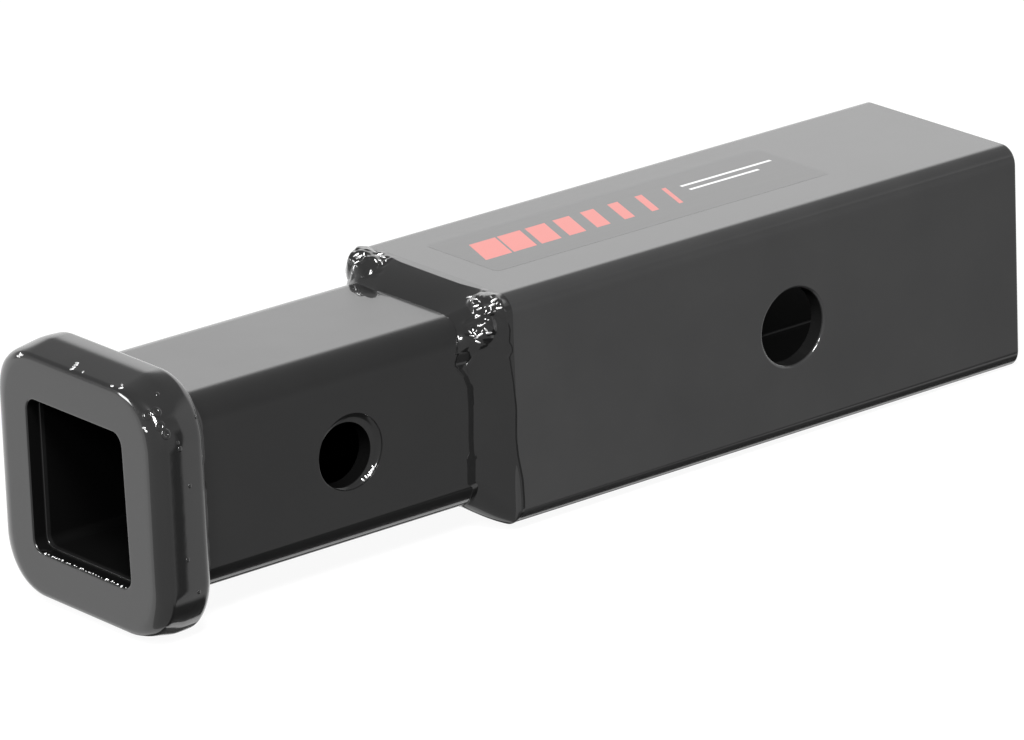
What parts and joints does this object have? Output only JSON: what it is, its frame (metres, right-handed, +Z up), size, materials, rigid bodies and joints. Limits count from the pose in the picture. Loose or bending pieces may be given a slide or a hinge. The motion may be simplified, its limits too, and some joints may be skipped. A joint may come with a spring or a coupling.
{
  "type": "hitch receiver extender",
  "caption": "Square steel shank welded over a smaller receiver tube with a rounded collar at its mouth and a cross pin hole in each tube.",
  "frame": {"origin": "centre of the shank's pin hole, on the axis of both tubes", "axes": "+X runs along the tubes from the collar's mouth to the shank's open end, the pin holes run along Y, +Z is up"},
  "size_m": [0.2358, 0.0564, 0.0564],
  "materials": {
    "coated_tube": "gloss black powder coat",
    "coated_collar": "gloss black powder coat",
    "coated_weld": "gloss black powder coat over weld metal",
    "label_film": "gloss printed film"
  },
  "bodies": {
    "root": {"shank_tube": "coated_tube", "receiver_tube": "coated_tube", "collar": "coated_collar", "collar_seam_weld": "coated_weld", "collar_weld": "coated_weld", "joint_weld": "coated_weld", "label": "label_film"}
  },
  "joints": []
}
